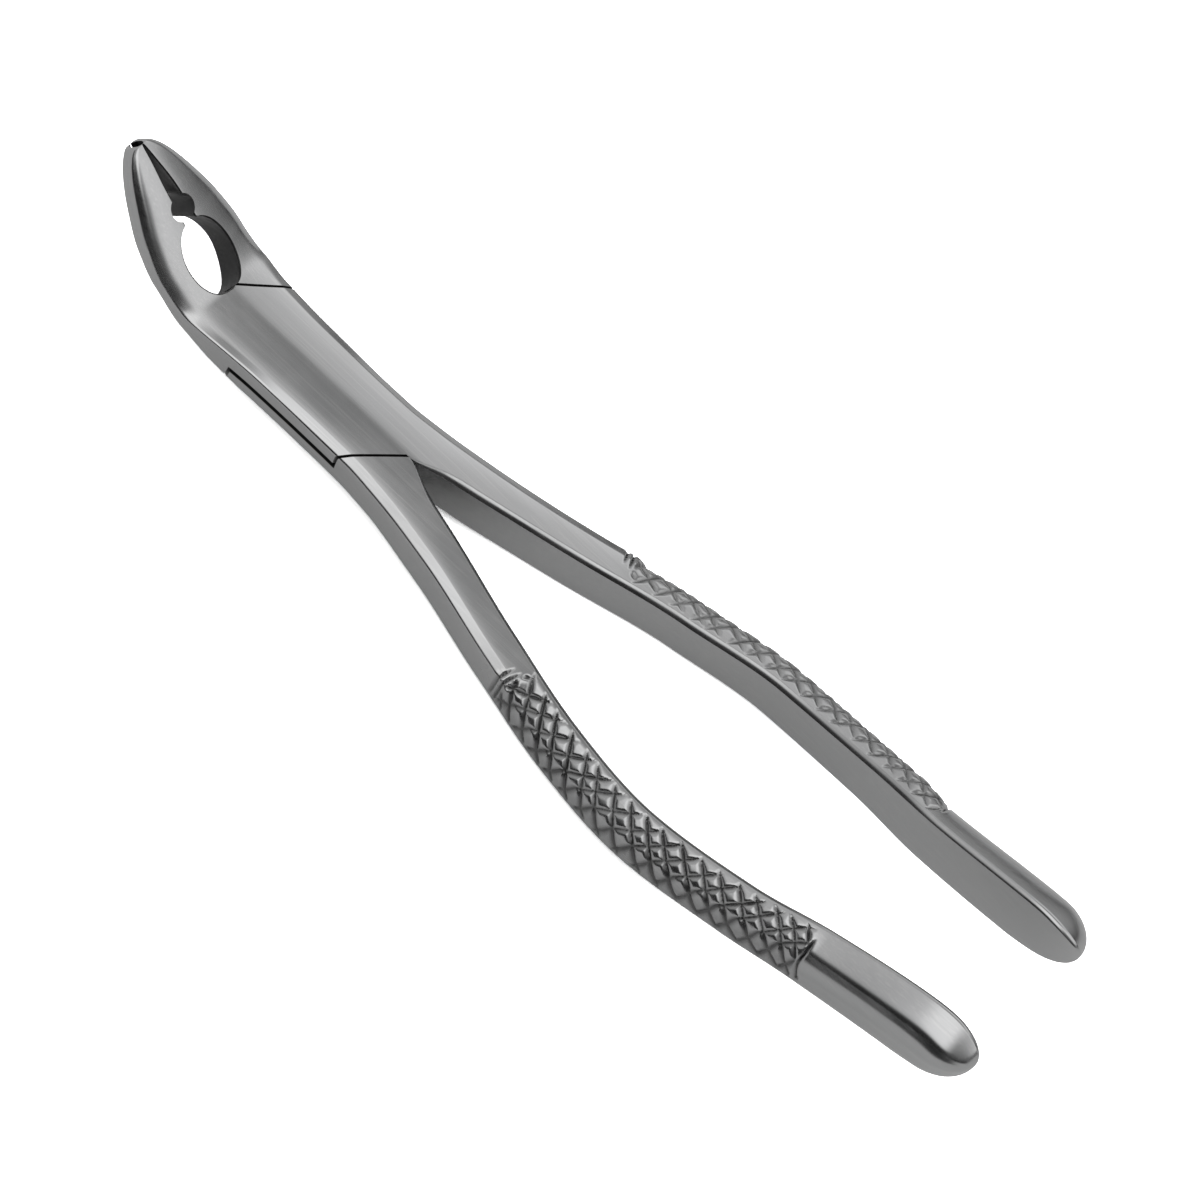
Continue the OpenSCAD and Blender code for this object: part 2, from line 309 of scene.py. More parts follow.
def ring_outlines(x, side, inner, base_inner, outer, rounder):
    """Outlines of the sections at x: outward and upward distances from each inner upper edge.

    Where the tooth window has opened the half, base_inner is its inner face before that.
    """
    inner, base_inner, outer = inner[:, None], base_inner[:, None], outer[:, None]
    depth = outer - inner
    opened = (inner - base_inner) / (outer - base_inner)
    height, lift, rise, slant = [column(keys, x) for keys in (HEIGHT, LIFT, RISE, SLANT)]
    fall, swell, power = [column(keys, x) for keys in (FALL, SWELL, SWELL_POWER)]
    in_grip = np.clip(np.minimum(x - GRIP_START, GRIP_END - x) / GRIP_FADE, 0, 1)[:, None]
    fuller = 1 + rounder * in_grip
    far_side = column(FAR_BEVEL_D, x) if side > 0 else 0
    bevel_w, bevel_d = column(BEVEL_W, x) * fuller, column(BEVEL_D, x) * fuller + far_side
    crease, soft, lower = column(CREASE_R, x) * fuller, column(SOFT_R, x), column(LOWER_R, x)
    edge, hollow = column(INNER_R, x), column(HOLLOW, x)

    def share(u):
        return opened + (1 - opened) * u / depth

    def top(u):
        crown = np.hypot(inner + u, MIDDLE) - np.hypot(base_inner, MIDDLE)
        return -fall * crown - swell * share(u) ** power

    def top_slope(u):
        turn = (inner + u) / np.hypot(inner + u, MIDDLE)
        return -fall * turn - power * swell * share(u) ** (power - 1) * (1 - opened) / depth

    def base(u):
        return -height + lift * (1 - share(u)) ** 2 + rise * share(u) ** 4

    def base_slope(u):
        return (-2 * lift * (1 - share(u)) + 4 * rise * share(u) ** 3) * (1 - opened) / depth

    zero = np.zeros_like(depth)
    # Top, from the inner edge to the start of the bevel.
    turn = edge * CHAMFER_TURN
    u0, u1 = edge + turn, depth - bevel_w - soft
    c1u = depth - bevel_w
    c1w = top(u1) + top_slope(u1) * (c1u - u1)
    # The bevel, from its upper corner to the crease.
    c2w = c1w - bevel_d
    fit = np.minimum(1, CORNER_SHARE * (c2w + height - rise) / (crease + lower))
    crease, lower = crease * fit, lower * fit
    length = np.hypot(bevel_w, bevel_d)
    du, dw = bevel_w / length, -bevel_d / length
    a2u, a2w = c1u + du * soft, c1w + dw * soft
    b2u, b2w = depth - du * crease, c2w - dw * crease
    # The side, down to the lower corner.
    c3u = depth - slant
    u5 = c3u - lower
    c3w = base(u5) + base_slope(u5) * lower
    length = np.hypot(slant, c2w - c3w)
    su, sw = -slant / length, (c3w - c2w) / length
    a3u, a3w = depth + su * crease, c2w + sw * crease
    b3u, b3w = c3u - su * lower, c3w - sw * lower
    # The underside and the inner face.
    u6 = edge * LOWER_EDGE
    c4w = base(u6) - base_slope(u6) * u6
    a7w, b7w = c4w + u6, top(zero) - edge
    c8u, c8w = edge * CHAMFER / 2, top(zero) - edge * CHAMFER / 2
    a9u, a9w = edge - CHAMFER_END * turn, top(edge) - CHAMFER_END * turn
    top_u, low_u = run(u0, u1, N_TOP), run(u5, u6, N_BOTTOM)
    s = np.linspace(0, 1, N_INNER + 1)[:-1]
    inner_u = hollow * np.sqrt(np.maximum(1 - (2 * s - 1) ** 2, 0))
    u = [top_u, bezier(u1, c1u, a2u, N_SOFT), run(a2u, b2u, N_BEVEL),
         bezier(b2u, depth, a3u, N_CREASE), run(a3u, b3u, N_SIDE),
         bezier(b3u, c3u, u5, N_LOWER), low_u, bezier(u6, zero, zero, N_INNER_EDGE),
         inner_u, bezier(zero, c8u, a9u, N_INNER_EDGE), bezier(a9u, edge, u0, N_TURN)]
    w = [top(top_u), bezier(top(u1), c1w, a2w, N_SOFT), run(a2w, b2w, N_BEVEL),
         bezier(b2w, c2w, a3w, N_CREASE), run(a3w, b3w, N_SIDE),
         bezier(b3w, c3w, base(u5), N_LOWER), base(low_u), bezier(base(u6), c4w, a7w, N_INNER_EDGE),
         run(a7w, b7w, N_INNER), bezier(b7w, c8w, a9w, N_INNER_EDGE),
         bezier(a9w, top(edge), top(u0), N_TURN)]
    return np.concatenate(u, 1), np.concatenate(w, 1)


def spaced(stops):
    """Places from (start, spacing) pairs; the last pair only ends the last stretch."""
    out = []
    for (a, gap), (b, _) in zip(stops, stops[1:]):
        n = max(1, round((b - a) / gap))
        out += [a + (b - a) * i / n for i in range(n)]
    return np.array(out + [stops[-1][0]])


def grooves(x, u, w, grip):
    """Depth of the grip's hand-cut grooves at every point of the rings, and that depth plus how dull it
    is there, by which the steel paints shade in the grooves.
    """
    rng = np.random.default_rng(grip.seed)
    step = np.hypot(np.diff(u, axis=1), np.diff(w, axis=1))
    t = np.concatenate([np.zeros((len(x), 1)), np.cumsum(step, 1)], 1)
    t_corner = t[:, CORNER_POINT:CORNER_POINT + 1]
    rise = np.gradient(smooth(TOP, x), x)[:, None]
    spread = np.gradient(smooth(OUTER, x), x)[:, None]
    along = np.concatenate([[0], np.cumsum(np.hypot(np.hypot(np.diff(x), np.diff(smooth(TOP, x))),
                                                    np.diff(smooth(OUTER, x))))])[:, None]
    # Distance over the top to the outer corner, down the side from there, and along the handle.
    over = np.minimum(t, t_corner)
    down = np.maximum(t - t_corner, 0)
    s = along + spread * over - rise * down
    s0 = float(np.interp(GRIP_START, x, along[:, 0]))
    s1 = float(np.interp(GRIP_END, x, along[:, 0]))
    lower_end = t[:, SIDE_POINTS:SIDE_POINTS + 1] + PAST_LOWER_EDGE
    q = over - t_corner + SIDE_SLANT * down

    def groove(place, slant, depth, inner_end, reach, run_out):
        """A groove with pillowed flanks, which narrows to a point at its inner end."""
        away = np.abs(s - place - slant * q) / math.hypot(1, slant)
        fade = np.clip((t - inner_end) / run_out, 0, 1) ** END_BLUNTNESS
        fade = fade * np.clip((lower_end - t) / LOWER_RUN_OUT, 0, 1)
        wide = reach * np.maximum(fade, LEAST_WIDTH)
        return depth * fade * np.maximum(1 - away / wide, 0) ** FLANK_POWER

    cut = np.zeros_like(u)
    inside = np.clip(np.minimum(s - s0 - START_MARGIN, s1 - END_MARGIN - s) / MARGIN_FADE, 0, 1)
    for slant, pitch, depth, extra in FAMILIES:
        place = s0 - LEAD_IN
        while place < s1 + LEAD_OUT:
            middle = place + rng.uniform(-PLACE_SHIFT, PLACE_SHIFT)
            tilt = slant + rng.uniform(-SLANT_SHIFT, SLANT_SHIFT)
            deep = grip.strength * depth * rng.uniform(*DEPTH_SHARE)
            inner_end = grip.strip + extra + rng.uniform(0, INNER_SHIFT)
            crossing = groove(middle, tilt, deep, inner_end, GROOVE_REACH, RUN_OUT)
            cut = np.maximum(cut, crossing * inside)
            place += pitch
    for edge, straight in ((s0, START_GROOVES), (s1, END_GROOVES)):
        for offset, depth, inner_end, reach in straight:
            cut = np.maximum(cut, groove(edge + offset, 0.0, depth, inner_end, reach, STRAIGHT_RUN_OUT))
    cut[:, OUTER_POINTS:] = 0
    dull = np.clip(np.minimum(s - s0, s1 - s) / DULL_FROM_ENDS, 0, 1)
    dull = dull * np.clip((t - grip.strip) / DULL_FROM_STRIP, 0, 1)
    dull = dull * (GRIP_DULL + SIDE_DULL * np.clip(down / DULL_DOWN_SIDE, 0, 1))
    dull[:, OUTER_POINTS:] = 0
    # The second value paints shade in the grooves, and darkens the grip and its side more towards the
    # bottom.
    return cut, cut + dull


def half_rings(x, side, grip):
    """Ring points of one half of the closed instrument, and at each the value by which the steel paints
    shade in the grooves and dulls.
    """
    base_inner = np.where((x > THROAT_X) & (x < CROTCH_X), 0, smooth(INNER, x))
    inner = np.maximum(base_inner, window_y(x))
    outer = smooth(OUTER, x)
    u, w = ring_outlines(x, side, inner, base_inner, outer, grip.rounder if grip else 0)
    # The handle's end is rounded in side view by grow, and in plan by narrow.
    end = np.clip((x - END_X + END_L) / END_L, 0, 1)
    grow = (1 - end ** 2)[:, None] ** END_POWER
    plan = np.clip((x - END_X + END_W) / END_W, 0, 1)
    narrow = (1 - plan ** 2)[:, None] ** 0.5
    tip = np.clip((x - TIP_X) / TIP_ROUND, 0, 1)
    pull = TIP_PULL * (1 - np.sqrt(1 - (1 - tip) ** 2))
    u = u * narrow * (1 - pull / outer)[:, None]
    curl = END_CURL * (1 - np.sqrt(1 - plan ** 2))[:, None]
    w = w * grow
    shade_and_dull = np.zeros_like(u)
    if grip:
        cut, shade_and_dull = grooves(x, u, w, grip)
        du = np.roll(u, -1, 1) - np.roll(u, 1, 1)
        dw = np.roll(w, -1, 1) - np.roll(w, 1, 1)
        size = np.maximum(np.hypot(du, dw), TINY)
        u = u + cut * dw / size
        w = w - cut * du / size
    lean = np.radians(smooth(LEAN, x))[:, None]
    top = (smooth(TOP, x) - smooth(HEIGHT, x) * (1 - grow[:, 0]) * END_DROP)[:, None]
    points = np.stack([x[:, None] + w * np.sin(lean), side * (inner[:, None] + curl + u),
                       top + w * np.cos(lean) + MID_Z], 2)
    return points, shade_and_dull


def loft(halves):
    """Points, faces, painted groove shade and dullness, and kinds of steel of both halves, which share
    the joint's centre line.
    """
    verts, faces, shade_and_dullness, steel_kinds = [], [], [], []
    for x, side, grip in halves:
        points, shade_and_dull = half_rings(x, side, grip)
        start = len(verts)
        verts += points.reshape(-1, 3).tolist()
        shade_and_dullness += shade_and_dull.reshape(-1).tolist()
        n, m = points.shape[:2]
        joined = (x > THROAT_X - TINY) & (x < CROTCH_X + TINY)

        def corner(k, j):
            return start + k * m + j % m

        def add(loop, steel_kind=POLISHED):
            faces.append(loop if side > 0 else loop[::-1])
            steel_kinds.append(steel_kind)

        for k in range(n - 1):
            last = OUTER_POINTS if joined[k] and joined[k + 1] else m
            for j in range(last):
                # The faces between the beaks take the near-black ground steel, as painted shade.
                between_beaks = x[k] < THROAT_X and j >= OUTER_POINTS + N_INNER_EDGE
                add([corner(k, j), corner(k + 1, j), corner(k + 1, j + 1), corner(k, j + 1)],
                    GROUND_SHADE if between_beaks else POLISHED)
        add([corner(0, j) for j in range(m)])
        add([corner(n - 1, j) for j in reversed(range(m))])
    return verts, faces, shade_and_dullness, steel_kinds


def grey(level):
    """An opaque grey."""
    return (level, level, level, 1)


class Shading:
    """Adds nodes to the node tree of a material or a world. Inputs are sockets or plain values."""

    def __init__(self, owner):
        owner.use_nodes = True
        self.nodes = owner.node_tree.nodes
        self.links = owner.node_tree.links

    def put(self, value, socket):
        """Links an output to the socket, or sets the socket to a plain value."""
        if isinstance(value, bpy.types.NodeSocket):
            self.links.new(value, socket)
        else:
            socket.default_value = value

    def feed(self, node, inputs):
        for key, value in inputs.items():
            self.put(value, node.inputs[key])

    def ramp(self, source, start, end, low, high, kind="LINEAR"):
        """Takes the source from start..end to low..high, and holds it there."""
        node = self.nodes.new("ShaderNodeMapRange")
        node.interpolation_type = kind
        self.feed(node, {"Value": source, "From Min": start, "From Max": end,
                         "To Min": low, "To Max": high})
        return node.outputs["Result"]

    def mix(self, factor, a, b, kind="RGBA"):
        node = self.nodes.new("ShaderNodeMix")
        node.data_type = kind
        self.feed(node, {"Factor": factor, "A": a, "B": b})
        return node.outputs["Result"]

    def maths(self, operation, a, b):
        node = self.nodes.new("ShaderNodeMath")
        node.operation = operation
        self.feed(node, {0: a, 1: b})
        return node.outputs[0]

    def bump(self, inputs):
        node = self.nodes.new("ShaderNodeBump")
        self.feed(node, inputs)
        return node.outputs["Normal"]


# Noise in the steel: scale, stretch along X, Y and Z, detail, and a shift that sets each apart. The
# lines and streaks run lengthwise, as the polishing did.
LINES = (1400, (0.06, 1, 1), 3, 0)
STREAKS = (3600, (0.012, 1, 1), 4, 3)
CLOUD = (90, (1, 1, 1), 4, 5)
SCRATCHES = (900, (0.12, 1.6, 1.6), 8, 9)
# Part of a noise that is used, from where it starts to show to where it is full. Streaks and
# scratches are rare.
MIDDLE_OF_NOISE = (0.3, 0.7)
STREAKS_SHOW = (0.52, 0.75)
SCRATCHES_SHOW = (0.62, 0.72)
STREAK_STRENGTH = 0.9
# Colour as a share of the steel's tone: away from streaks and clouds, in them, and as painted
# shade deep in the grooves, with the groove value at which that shade is full.
PLAIN_TINT = (0.93, 0.94, 0.95)
BRIGHT_TINT = 1.05
SHADE_TINT = 0.28
FULL_SHADE = 0.4
# Roughness: its spread over the lines as a share of it, and what clouds and the groove value add.
LINE_SPREAD = (0.85, 1.15)
CLOUD_ROUGHNESS = (-0.03, 0.05)
DULL_ROUGHNESS = 0.1


def steel(name, tone, rough):
    """Polished stainless steel with fine lengthwise polishing lines and stray scratches."""
    material = bpy.data.materials.new(name)
    shading = Shading(material)
    nodes = shading.nodes
    shader = nodes["Principled BSDF"]
    shader.inputs["Metallic"].default_value = 1
    place = nodes.new("ShaderNodeTexCoord").outputs["Object"]

    def noise(scale, stretch, detail, shift):
        mapping = nodes.new("ShaderNodeMapping")
        shading.feed(mapping, {"Vector": place, "Scale": stretch,
                               "Location": (shift, shift * 0.7, shift * 0.3)})
        texture = nodes.new("ShaderNodeTexNoise")
        shading.feed(texture, {"Vector": mapping.outputs["Vector"], "Scale": scale, "Detail": detail})
        return texture.outputs["Fac"]

    polishing, cloud = noise(*LINES), noise(*CLOUD)
    streaks = shading.ramp(noise(*STREAKS), *STREAKS_SHOW, 0, STREAK_STRENGTH)
    scratches = shading.ramp(noise(*SCRATCHES), *SCRATCHES_SHOW, 0, 1)
    groove = nodes.new("ShaderNodeAttribute")
    groove.attribute_name = GROOVE_ATTR
    shade_and_dullness = shading.ramp(groove.outputs["Fac"], 0, FULL_SHADE, 0, 1)

    plain = (*[tone * tint for tint in PLAIN_TINT], 1)
    unshaded = shading.mix(shading.maths("ADD", streaks, cloud), plain, grey(tone * BRIGHT_TINT))
    # Painted shade: the colour darkens deep in the grooves and, less, over the grip and down its side.
    shading.put(shading.mix(shade_and_dullness, unshaded, grey(tone * SHADE_TINT)), shader.inputs["Base Color"])

    low, high = [rough * share for share in LINE_SPREAD]
    lined = shading.ramp(polishing, *MIDDLE_OF_NOISE, low, high)
    clouded = shading.maths("ADD", lined, shading.ramp(cloud, *MIDDLE_OF_NOISE, *CLOUD_ROUGHNESS))
    dulled = shading.maths("ADD", clouded, shading.ramp(shade_and_dullness, 0, 1, 0, DULL_ROUGHNESS))
    shading.put(dulled, shader.inputs["Roughness"])

    fine = shading.bump({"Strength": 0.05, "Distance": 0.00002, "Height": polishing})
    normal = shading.bump({"Strength": 0.04, "Distance": 0.00003, "Height": scratches,
                           "Normal": fine})
    shading.put(normal, shader.inputs["Normal"])
    return material


# The ground steel's near-black tone paints shade in the cuts and between the beaks. The lapped steel's
# dark tone paints shade in the seam's gaps. Both are also rougher than the polished steel.
lever_steels = [steel("polished_steel", 0.42, 0.2), steel("ground_steel_painted_shade", 0.05, 0.36),
                  steel("lapped_steel_painted_shade", 0.17, 0.4)]
screw_steels = [steel("screw_steel", 0.5, 0.28), lever_steels[GROUND_SHADE]]


def mesh_object(name, verts, faces, materials=()):
    """A mesh object from points in millimetres."""
    mesh = bpy.data.meshes.new(name)
    mesh.from_pydata([[c * MM for c in v] for v in verts], [], faces)
    for material in materials:
        mesh.materials.append(material)
    shape = bpy.data.objects.new(name, mesh)
    bpy.context.scene.collection.objects.link(shape)
    return shape


def weld(shape):
    """Joins points that meet, and turns all normals outward."""
    bm = bmesh.new()
    bm.from_mesh(shape.data)
    bmesh.ops.remove_doubles(bm, verts=bm.verts, dist=WELD)
    bmesh.ops.delete(bm, geom=[v for v in bm.verts if not v.link_faces], context="VERTS")
    bmesh.ops.recalc_face_normals(bm, faces=bm.faces)
    bm.to_mesh(shape.data)
    bm.free()


def extruded(verts, n):
    """Points and faces of a closed body between two outlines of n points, one after the other."""
    faces = [list(range(n)), list(range(n, 2 * n))]
    faces += [[i, (i + 1) % n, n + (i + 1) % n, n + i] for i in range(n)]
    return verts, faces


def cutter(name, verts, n, steel_kind=GROUND_SHADE):
    """A closed cutting tool between two outlines of n points. Its cuts get the given kind of steel, by
    default the near-black ground steel that paints shade in the cut.
    """
    tool = mesh_object(name, *extruded(verts, n), lever_steels)
    weld(tool)
    for face in tool.data.polygons:
        face.material_index = steel_kind
    return tool


# A prism's cut faces take the dark lapped steel by default: a duller finish, darkened as painted shade
# in the seam's gaps.
def prism(name, plan, low, high, flip, steel_kind=LAPPED_SHADE):
    """A closed prism over a plan outline, about the lap plane, turned over for the lower lever."""
    sign = -1 if flip else 1
    verts = [(x, sign * y, MID_Z + sign * z) for z in (low, high) for x, y in plan]
    return cutter(name, verts, len(plan), steel_kind)


def rod(name, centre, axis, radius, length, sides=64):
    """A cylinder along an axis, as a cutting tool."""
    turn = Vector(axis).to_track_quat("Z", "Y").to_matrix()
    verts = []
    for end in (-0.5, 0.5):
        for i in range(sides):
            a = 2 * math.pi * i / sides
            p = Vector((radius * math.cos(a), radius * math.sin(a), end * length))
            verts.append(tuple(Vector(centre) + turn @ p))
    return cutter(name, verts, sides)


def cut_with(shape, tools):
    """Takes the tools away from the shape, and removes the tools."""
    for tool in tools:
        modifier = shape.modifiers.new("cut", "BOOLEAN")
        modifier.operation = "DIFFERENCE"
        modifier.solver = "MANIFOLD"
        modifier.object = tool
    bpy.context.view_layer.update()
    result = bpy.data.meshes.new_from_object(shape.evaluated_get(
        bpy.context.evaluated_depsgraph_get()))
    shape.modifiers.clear()
    shape.data = result
    for tool in tools:
        bpy.data.objects.remove(tool)


def smooth_faces(shape, angle):
    """Shades the shape smooth, with sharp edges where faces meet at more than the angle."""
    for face in shape.data.polygons:
        face.use_smooth = True
    shape.data.set_sharp_from_angle(angle=math.radians(angle))


def lap_groove(under, flip):
    """The narrow open groove along the lap's edge, as the lap's plan less a core inside it."""
    # The groove's faces take the near-black ground steel, as painted shade.
    tool = prism("lap_groove", under, -1, LAP_GROOVE, flip, GROUND_SHADE)
    core_reach = 24
    x = np.linspace(-core_reach, core_reach, 2 * core_reach + 1)
    y = smooth(OUTER, x) - LAP_GROOVE_DEPTH
    plan = list(zip(x, y)) + list(zip(x[::-1], -y[::-1]))
    cut_with(tool, [prism("core", plan, -2, 2, flip, GROUND_SHADE)])
    return tool


def seam_tools(flip, lap_shoulder, arm_shoulder):
    """Prisms that take the other lever's share out of the closed instrument.

    The beak shoulders' angles are for the end of this lever's lap and for where its beak starts.
    """
    far = 90
    wide = 200
    gap = SHOULDER_GAP / 2

    def back(corner, angle):
        return corner - far / math.tan(math.radians(angle))

    def sine(angle):
        return math.sin(math.radians(angle))

    beak = SHOULDER_X + gap / sine(arm_shoulder)
    handle = CROTCH_X + gap / sine(HANDLE_SHOULDER)
    other_beak = SHOULDER_X - gap / sine(lap_shoulder)
    other_handle = CROTCH_X - gap / sine(HANDLE_SHOULDER)
    under = [(-beak, 0), (-back(beak, arm_shoulder), -far), (wide, -far), (wide, 0), (handle, 0),
             (back(handle, HANDLE_SHOULDER), far), (-wide, far), (-wide, 0)]
    beak_side = [(-other_beak, 0), (-back(other_beak, lap_shoulder), far), (-wide, far), (-wide, 0)]
    handle_side = [(other_handle, 0), (wide, 0), (wide, -far),
                   (back(other_handle, HANDLE_SHOULDER), -far)]
    # The lap and shoulder faces take the dark lapped steel, darkened as painted shade in the seam's
    # gaps.
    # The ends lie at different heights, so that no two of them share a plane.
    return [lap_groove(under, flip),
            prism("under", under, -far, LAP_GAP / 2, flip),
            prism("beak_side", beak_side, -far + 1, far, flip),
            prism("handle_side", handle_side, -far + 2, far - 1, flip)]


def build_lever(name, flip):
    """One lever: its beak on one side of the joint and its handle on the other, less the rest.

    The lower lever has the other beak and handle, and the same seam turned over about X.
    """
    beak_side, handle_side = (1, -1) if flip else (-1, 1)
    grip = LOWER_GRIP if flip else UPPER_GRIP
    shoulders = (LOWER_SHOULDER, UPPER_SHOULDER) if flip else (UPPER_SHOULDER, LOWER_SHOULDER)
    verts, faces, shade_and_dullness, steel_kinds = loft([(spaced(BEAK_RINGS), beak_side, None),
                                         (spaced(HANDLE_RINGS), handle_side, grip)])
    shape = mesh_object(name, verts, faces, lever_steels)
    attribute = shape.data.attributes.new(GROOVE_ATTR, "FLOAT", "POINT")
    attribute.data.foreach_set("value", np.array(shade_and_dullness, np.float32))
    shape.data.polygons.foreach_set("material_index", np.array(steel_kinds, np.int32))
    weld(shape)
    tools = seam_tools(flip, *shoulders)
    # The notch and the holes take the near-black ground steel, as painted shade.
    square_to_beaks = (math.sin(BEAK_SLOPE), 0, math.cos(BEAK_SLOPE))
    tools.append(rod("notch", NOTCH_AT, square_to_beaks, NOTCH_R, 20))
    up = (0, 0, 1)
    if flip:
        tools.append(rod("bore", (0, 0, 2), up, SHANK_R + CLEARANCE, 12))
        head_hole = 2 * HEAD_T + 2 * HEAD_ROOM
        tools.append(rod("counterbore", (0, 0, 0), up, HEAD_R + CLEARANCE, head_hole))
    else:
        tools.append(rod("thread", (0, 0, 0), up, SHANK_R, 2 * THREAD_TOP))
    cut_with(shape, tools)
    smooth_faces(shape, LEVER_SHARP)
    return shape


def screw_profile():
    """Half outline of the screw as (radius, height): chamfered head, neck, shank, thread, end."""
    edge, neck, shank = 0.25, SHANK_R - 0.1, SHANK_R - 0.02
    profile = [(0, 0.06), (HEAD_R - 1.2, 0.03), (HEAD_R - edge, 0), (HEAD_R, edge),
               (HEAD_R, HEAD_T - 0.1), (HEAD_R - 0.1, HEAD_T), (neck, HEAD_T), (neck, HEAD_T + 0.25),
               (shank, HEAD_T + 0.35)]
    root, crest, pitch = SHANK_R - 0.3, SHANK_R - 0.03, 0.5
    start, stop = MID_Z + 0.3, THREAD_TOP - 0.4
    profile.append((shank, start))
    for i in range(int((stop - start) / pitch)):
        z = start + i * pitch
        profile += [(root, z + 0.25 * pitch), (crest, z + 0.75 * pitch), (crest, z + pitch)]
    return profile + [(SHANK_R - 0.35, THREAD_TOP - 0.1), (0, THREAD_TOP - 0.05)]


def turned(profile, sides):
    """Points and faces of a body turned about Z, whose profile starts and ends on the axis."""
    verts = []
    for r, z in profile[1:-1]:
        for i in range(sides):
            a = 2 * math.pi * i / sides
            verts.append((r * math.cos(a), r * math.sin(a), z))
    rows = len(profile) - 2
    low, high = len(verts), len(verts) + 1
    verts += [(0, 0, profile[0][1]), (0, 0, profile[-1][1])]
    faces = []
    for k in range(rows - 1):
        for i in range(sides):
            j = (i + 1) % sides
            faces.append([k * sides + i, k * sides + j, (k + 1) * sides + j, (k + 1) * sides + i])
    for i in range(sides):
        j = (i + 1) % sides
        faces.append([low, j, i])
        faces.append([high, (rows - 1) * sides + i, (rows - 1) * sides + j])
    return verts, faces


def build_screw():
    """The pivot screw, with a slot whose edges are broken by a small chamfer."""
    shape = mesh_object("slotted_screw", *turned(screw_profile(), 96), screw_steels)
    weld(shape)
    half, flare = SLOT_W / 2, 0.12
    section = [(-half - flare, -1), (half + flare, -1), (half + flare, 0), (half, flare),
               (half, SLOT_DEPTH), (-half, SLOT_DEPTH), (-half, flare), (-half - flare, 0)]
    verts = [(x, y, z) for x in (-2 * HEAD_R, 2 * HEAD_R) for y, z in section]
    # The slot takes the near-black ground steel, as painted shade.
    cut_with(shape, [cutter("slot", verts, len(section))])
    smooth_faces(shape, SCREW_SHARP)
    return shape


upper = build_lever("upper_lever", False)
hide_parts("top_lever")
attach(upper, "top_lever")
lower = build_lever("lower_lever", True)
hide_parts("bottom_lever")
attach(lower, "bottom_lever")
screw = build_screw()
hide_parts("pivot_screw")
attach(screw, "top_lever")


# The floor: its radius, how far it lies under the part, and its tone as the camera and as the steel
# sees it.
FLOOR_R = 2200
FLOOR_DROP = 0.2
FLOOR_SEEN = 3.4
FLOOR_IN_STEEL = 0.74
# Studio light as level against the angle from overhead, turned about the instrument's length:
# minus is the near side, plus the far side. One profile is for light from straight across, one
# for light from the handle end, and one for light from the beak end.
ACROSS = [(-90, 0.03), (-54, 0.03), (-42, 1.6), (-2, 1.6), (13, 0.46), (20, 0.37), (29, 0.37),
          (36, 1.0), (47, 1.3), (56, 1.1), (67, 0.5), (79, 0.42), (88, 0.06)]
FROM_HANDLES = [(-90, 0.08), (-42, 0.14), (-18, 0.6), (0, 1.3), (30, 1.2), (46, 0.85), (58, 0.45),
                (74, 0.34), (90, 0.2)]
FROM_BEAKS = [(-90, 0.05), (-64, 0.05), (-52, 0.5), (-25, 0.72), (0, 0.85), (25, 0.8), (50, 0.7),
              (84, 0.6), (90, 0.3)]
# Share of the two end profiles, from none to full, by how far the light leans lengthwise.
HANDLE_LEAN = (0.3, 0.6)
BEAK_LEAN = (-0.2, -0.5)
# The horizon towards the handle end is dark up to this height.
HORIZON = (0.1, 0.3, 0.15, 1)
# The level that a full colour stands for.
BRIGHTEST = 2.0


def stage():
    """A pale floor under the part. The steel sees it greyer than the camera does."""
    sides = 96
    z = cad_box[0][2] / MM - FLOOR_DROP
    verts = [(FLOOR_R * math.cos(a), FLOOR_R * math.sin(a), z)
             for a in np.linspace(0, 2 * math.pi, sides, endpoint=False)]
    material = bpy.data.materials.new("floor")
    floor = mesh_object("floor", verts, [list(range(sides))], [material])
    shading = Shading(material)
    shader = shading.nodes["Principled BSDF"]
    shader.inputs["Roughness"].default_value = 0.9
    shader.inputs["Specular IOR Level"].default_value = 0.1
    by_camera = shading.nodes.new("ShaderNodeLightPath").outputs["Is Camera Ray"]
    tone = shading.mix(by_camera, grey(FLOOR_IN_STEEL), grey(FLOOR_SEEN))
    shading.put(tone, shader.inputs["Base Color"])


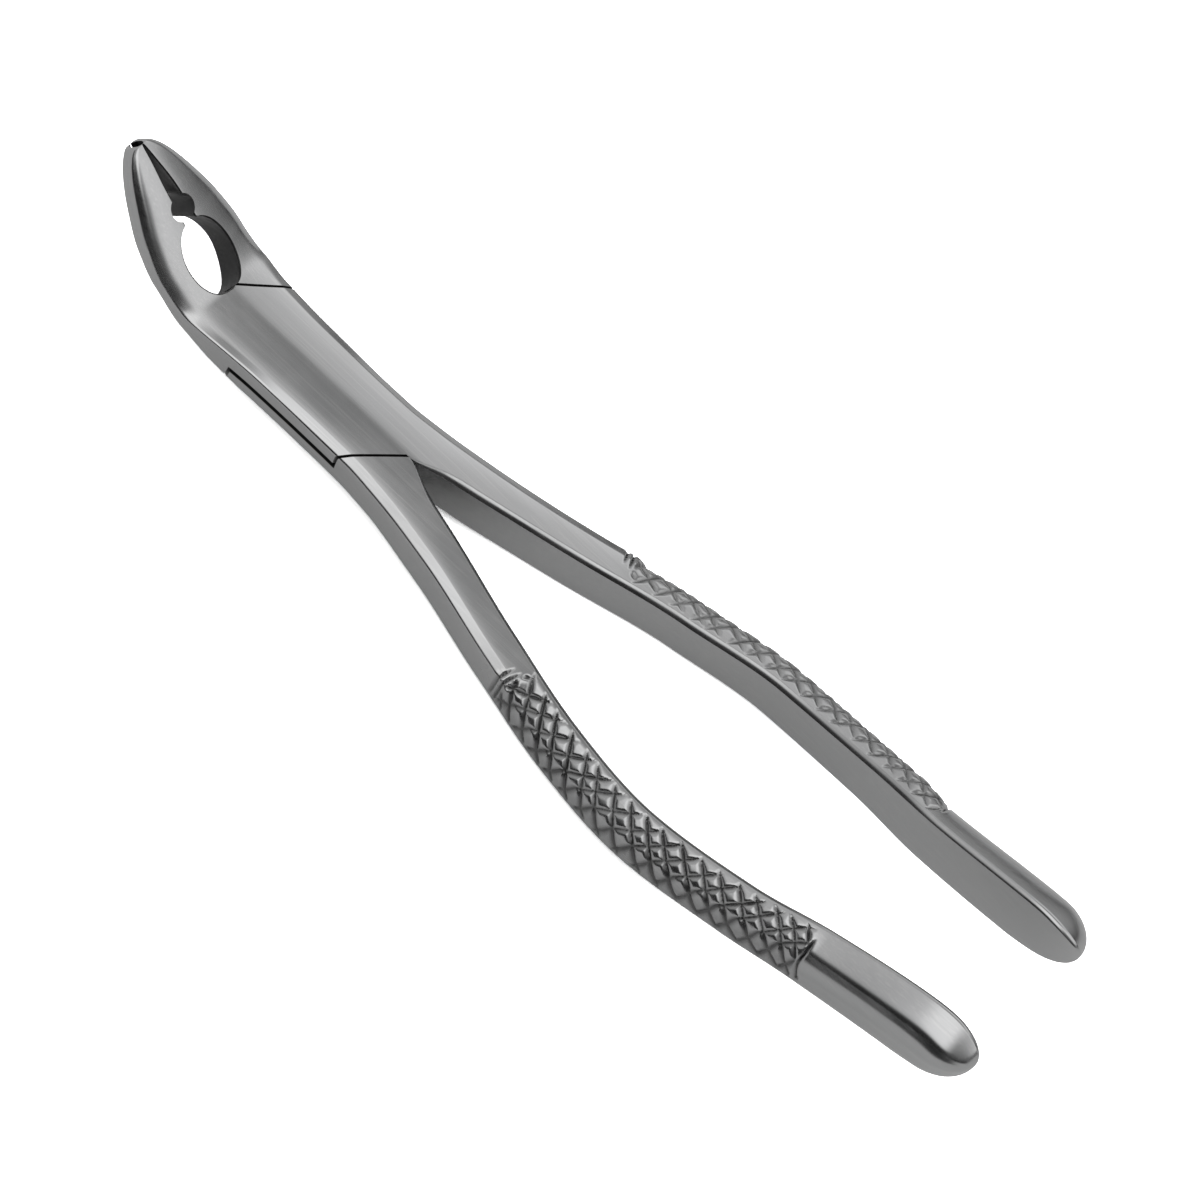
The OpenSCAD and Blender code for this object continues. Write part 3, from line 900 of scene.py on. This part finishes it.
def sky():
    """Studio light, blended from the three profiles by where the light comes from."""
    world = bpy.data.worlds.new("studio")
    shading = Shading(world)
    nodes = shading.nodes
    split = nodes.new("ShaderNodeSeparateXYZ")
    shading.put(nodes.new("ShaderNodeTexCoord").outputs["Generated"], split.inputs[0])
    length, across, height = split.outputs
    quarter = math.pi / 2
    turn = shading.ramp(shading.maths("ARCTAN2", across, height), -quarter, quarter, 0, 1)

    def profile(stops):
        node = nodes.new("ShaderNodeValToRGB")
        points = node.color_ramp.elements
        while len(points) < len(stops):
            points.new(0.5)
        for point, (angle, level) in zip(points, stops):
            point.position = 0.5 + angle / 180
            point.color = grey(level / BRIGHTEST)
        shading.put(turn, node.inputs["Fac"])
        return node.outputs["Color"]

    handles = shading.ramp(length, *HANDLE_LEAN, 0, 1, "SMOOTHSTEP")
    beaks = shading.ramp(length, *BEAK_LEAN, 0, 1, "SMOOTHSTEP")
    colour = shading.mix(handles, profile(ACROSS), profile(FROM_HANDLES))
    colour = shading.mix(beaks, colour, profile(FROM_BEAKS))
    # Only the handle end's horizon is dark, so the others take the full level.
    horizon = shading.ramp(height, *HORIZON, "SMOOTHSTEP")
    level = shading.maths("MULTIPLY", shading.mix(handles, 1, horizon, "FLOAT"), BRIGHTEST)
    shading.feed(nodes["Background"], {"Color": colour, "Strength": level})
    bpy.context.scene.world = world


def camera():
    """Looks down on the instrument along its photographed view, with a long lens."""
    right = Vector((0.7247, 0.6422, 0.2499)).normalized()
    back = Vector((0.093, -0.4505, 0.888))
    back = (back - right * back.dot(right)).normalized()
    up = back.cross(right)
    # Metres: the view's middle from the pivot, the camera's distance and the width it frames.
    to_right, to_up = 0.0412, -0.0309
    distance, frame_w = 1.2, 0.1717
    target = Vector((0, 0, MID_Z * MM)) + right * to_right + up * to_up
    lens = bpy.data.cameras.new("camera")
    lens.sensor_width = 36
    lens.lens = lens.sensor_width * distance / frame_w
    lens.clip_start, lens.clip_end = 0.05, 20
    holder = bpy.data.objects.new("camera", lens)
    turn = Matrix((right, up, back)).transposed().to_4x4()
    holder.matrix_world = Matrix.Translation(target + back * distance) @ turn
    bpy.context.scene.collection.objects.link(holder)
    bpy.context.scene.camera = holder


stage()
sky()
camera()
bpy.context.scene.view_settings.view_transform = "Standard"
